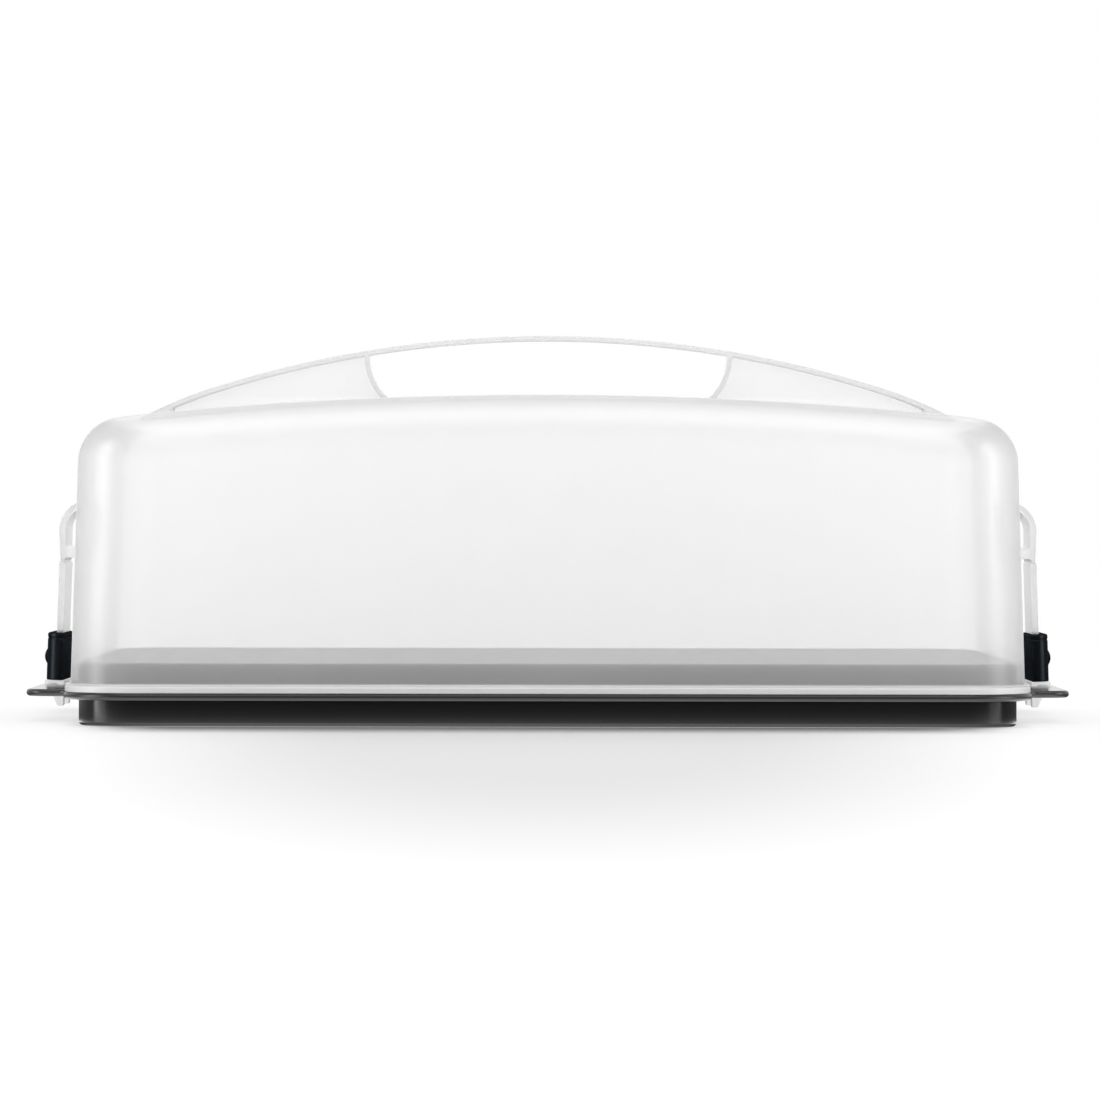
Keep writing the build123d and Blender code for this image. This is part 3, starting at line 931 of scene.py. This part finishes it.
def paper_with_painted_shadow(tree, place, at, inward):
    """The paper's colour with painted shadow: white, with a long soft patch before the carrier
    that is painted a fifth darker, and right before the skirt a strip of painted shadow that
    darkens further towards it."""
    patch = add_node(tree, "ShaderNodeVectorMath", {
        0: place, 1: (0.0, 0.27, 0.0),
    }, operation="ADD").outputs[0]
    patch = add_node(tree, "ShaderNodeVectorMath", {
        0: patch, 1: (4.76, 0.95, 0.0),
    }, operation="MULTIPLY").outputs[0]
    away = add_node(tree, "ShaderNodeVectorMath", {0: patch}, operation="LENGTH").outputs["Value"]
    shade = add_node(tree, "ShaderNodeMapRange", {
        "Value": away, "From Min": 1.05, "From Max": 0.3, "To Min": 0.0, "To Max": 1.0,
    }, interpolation_type="SMOOTHSTEP").outputs[0]
    # painted shadow: the paper is darker in a long soft patch before the carrier
    colour = add_node(tree, "ShaderNodeMix", {
        0: shade, 6: linear("dadada"), 7: linear("c0c0c0"),
    }, data_type="RGBA").outputs[2]
    # painted shadow: a strip right before the skirt darkens towards it
    strip = add_node(tree, "ShaderNodeMapRange", {
        "Value": at["Y"], "From Min": -0.22, "From Max": -0.15, "To Min": 0.0, "To Max": 0.75,
    }, interpolation_type="SMOOTHSTEP").outputs[0]
    ahead = add_node(tree, "ShaderNodeMapRange", {
        "Value": at["Y"], "From Min": -0.145, "From Max": -0.13, "To Min": 1.0, "To Max": 0.0,
    }).outputs[0]
    for limit in (ahead, inward):
        strip = add_node(tree, "ShaderNodeMath", {
            0: strip, 1: limit,
        }, operation="MULTIPLY").outputs[0]
    return add_node(tree, "ShaderNodeMix", {
        0: strip, 6: colour, 7: linear("5c5c5c"),
    }, data_type="RGBA").outputs[2]


def painted_floor_reflection(tree, at, aside, inward):
    """A painted reflection: how bright the paper glows in the carrier's gloss, seen by glossy rays
    only: dim by the camera and rising to the skirt, with a step up right before its middle part,
    and brighter on the left than on the right. From the skirt's front on it is dark again, a
    painted shade, and under the tabs only from farther back."""
    near = add_node(tree, "ShaderNodeMapRange", {
        "Value": at["Y"], "From Min": -0.225, "From Max": -0.15, "To Min": 0.03, "To Max": 1.0,
    }).outputs[0]
    step = add_node(tree, "ShaderNodeMapRange", {
        "Value": at["Y"], "From Min": -0.152, "From Max": -0.144, "To Min": 0.0, "To Max": 0.6,
    }).outputs[0]
    step = add_node(tree, "ShaderNodeMath", {
        0: step, 1: inward, 2: 1.0,
    }, operation="MULTIPLY_ADD").outputs[0]
    off_tab = add_node(tree, "ShaderNodeMath", {
        0: aside, 1: 0.214,
    }, operation="SUBTRACT").outputs[0]
    off_tab = add_node(tree, "ShaderNodeMath", {0: off_tab}, operation="ABSOLUTE").outputs[0]
    offset = add_node(tree, "ShaderNodeMapRange", {
        "Value": off_tab, "From Min": 0.013, "From Max": 0.02, "To Min": 0.0, "To Max": 0.065,
    }).outputs[0]
    depth = add_node(tree, "ShaderNodeMath", {0: at["Y"], 1: offset}, operation="ADD").outputs[0]
    past = add_node(tree, "ShaderNodeMapRange", {
        "Value": depth, "From Min": -0.09, "From Max": -0.06, "To Min": 1.0, "To Max": 0.05,
    }).outputs[0]
    left = add_node(tree, "ShaderNodeMapRange", {
        "Value": at["X"], "From Min": -0.4, "From Max": -0.24, "To Min": 7.0, "To Max": 2.4,
    }).outputs[0]
    right = add_node(tree, "ShaderNodeMapRange", {
        "Value": at["X"], "From Min": 0.22, "From Max": 0.3, "To Min": 1.0, "To Max": 0.6,
    }).outputs[0]
    level = near
    for factor in (step, past, left, right):
        level = add_node(tree, "ShaderNodeMath", {
            0: level, 1: factor,
        }, operation="MULTIPLY").outputs[0]
    return level


def white_floor():
    """A sheet of white paper, lit to the white around it, that keeps the carrier's shadow and has
    painted shadow before it. Beside the carrier's ends a painted white, seen only by the camera,
    takes most of the shadow away there, and in the carrier's gloss the paper shows a painted
    reflection."""
    made, tree, place = new_material("white_paper")
    at = add_node(tree, "ShaderNodeSeparateXYZ", {0: place}).outputs
    aside = add_node(tree, "ShaderNodeMath", {0: at["X"]}, operation="ABSOLUTE").outputs[0]
    inward = add_node(tree, "ShaderNodeMapRange", {
        "Value": aside, "From Min": 0.15, "From Max": 0.2, "To Min": 1.0, "To Max": 0.0,
    }, interpolation_type="SMOOTHSTEP").outputs[0]
    colour = paper_with_painted_shadow(tree, place, at, inward)
    paper = add_node(tree, "ShaderNodeBsdfDiffuse", {"Color": colour}).outputs[0]
    ray = add_node(tree, "ShaderNodeLightPath").outputs
    # painted light: beside the ends the camera sees a white glow mixed over the paper, which hides
    # most of the shadow
    painted_white_share = add_node(tree, "ShaderNodeMapRange", {
        "Value": aside, "From Min": 0.17, "From Max": 0.205, "To Min": 0.0, "To Max": 0.75,
    }, interpolation_type="SMOOTHSTEP").outputs[0]
    painted_white_share = add_node(tree, "ShaderNodeMath", {
        0: painted_white_share, 1: ray["Is Camera Ray"],
    }, operation="MULTIPLY").outputs[0]
    # the painted white glow that the camera sees beside the ends
    below = add_node(tree, "ShaderNodeEmission", {"Color": linear("ffffff")}).outputs[0]
    paper = add_node(tree, "ShaderNodeMixShader", {0: painted_white_share, 1: paper, 2: below}).outputs[0]
    # painted reflection: the paper glows in the carrier's gloss only, at the level worked out
    # above
    in_gloss = add_node(tree, "ShaderNodeEmission", {
        "Color": linear("ffffff"), "Strength": painted_floor_reflection(tree, at, aside, inward),
    }).outputs[0]
    shader = add_node(tree, "ShaderNodeMixShader", {
        0: ray["Is Glossy Ray"], 1: paper, 2: in_gloss,
    }).outputs[0]
    finish_material(tree, shader)
    mesh = bpy.data.meshes.new("studio_floor")
    corners = [(-1.6, -2.4, 0), (1.6, -2.4, 0), (1.6, 0.9, 0), (-1.6, 0.9, 0)]
    mesh.from_pydata(corners, [], [(0, 1, 2, 3)])
    floor = bpy.data.objects.new("studio_floor", mesh)
    mesh.materials.append(made)
    bpy.context.scene.collection.objects.link(floor)


def studio_world(front, back):
    """White all round to the eye, an even light on the object that is stronger from behind, and
    in its gloss a studio that is white behind it and dim above it and by the camera."""
    world = bpy.data.worlds.new("studio")
    world.use_nodes = True
    bpy.context.scene.world = world
    tree = world.node_tree
    tree.nodes.clear()
    ray = add_node(tree, "ShaderNodeLightPath")
    seen = add_node(tree, "ShaderNodeMath", {
        0: ray.outputs["Is Camera Ray"], 1: ray.outputs["Is Transmission Ray"],
    }, operation="MAXIMUM").outputs[0]
    way = add_node(tree, "ShaderNodeTexCoord").outputs["Generated"]
    depth = add_node(tree, "ShaderNodeSeparateXYZ", {0: way}).outputs["Y"]
    room = add_node(tree, "ShaderNodeMapRange", {
        "Value": depth, "From Min": 0.0, "From Max": 0.95, "To Min": 0.08, "To Max": 1.15,
    }).outputs[0]
    level = add_node(tree, "ShaderNodeMapRange", {
        "Value": depth, "From Min": -0.2, "From Max": 0.9, "To Min": front, "To Max": back,
    }).outputs[0]
    white = add_node(tree, "ShaderNodeBackground", {"Color": linear("ffffff"), "Strength": 1.0})
    mirror = add_node(tree, "ShaderNodeBackground", {"Color": linear("ffffff"), "Strength": room})
    light = add_node(tree, "ShaderNodeBackground", {"Color": linear("ffffff"), "Strength": level})
    lit = add_node(tree, "ShaderNodeMixShader", {
        0: ray.outputs["Is Glossy Ray"], 1: light.outputs[0], 2: mirror.outputs[0],
    }).outputs[0]
    shader = add_node(tree, "ShaderNodeMixShader", {0: seen, 1: lit, 2: white.outputs[0]})
    add_node(tree, "ShaderNodeOutputWorld", {"Surface": shader.outputs[0]})


def soft_box(name, place, target, width, height, power):
    """A soft box that shows only as a highlight in gloss: an area lamp turned to a target."""
    lamp = bpy.data.lights.new(name, "AREA")
    lamp.shape = "RECTANGLE"
    lamp.size, lamp.size_y, lamp.energy = width, height, power
    made = bpy.data.objects.new(name, lamp)
    made.location = place
    made.rotation_euler = (Vector(target) - Vector(place)).to_track_quat("-Z", "Y").to_euler()
    made.visible_camera = made.visible_diffuse = made.visible_transmission = False
    bpy.context.scene.collection.objects.link(made)


def studio_camera():
    """A level camera straight in front, with the long lens's framing set by its shift."""
    lens = bpy.data.cameras.new("studio_camera")
    lens.sensor_width = 36.0
    lens.lens = 197.1
    lens.shift_x = 0.0018
    lens.shift_y = -0.038
    lens.clip_end = 100.0
    made = bpy.data.objects.new("studio_camera", lens)
    made.location = (0, -2.604, 0.0897)
    made.rotation_euler = (np.radians(90), np.radians(-0.1), 0)
    bpy.context.scene.collection.objects.link(made)
    bpy.context.scene.camera = made


white_floor()
studio_world(front=1.33, back=2.04)
soft_box("left_box", (-1.82, -0.56, 0.66), (0, 0, 0.66), 0.85, 1.28, 17.0)
soft_box("right_box", (1.82, -0.56, 0.66), (0, 0, 0.66), 0.85, 1.28, 14.5)
soft_box("top_box", (0, -1.0, 1.9), (0, 0, 0.08), 2.2, 1.6, 18.5)
studio_camera()
bpy.context.scene.view_settings.view_transform = "Standard"
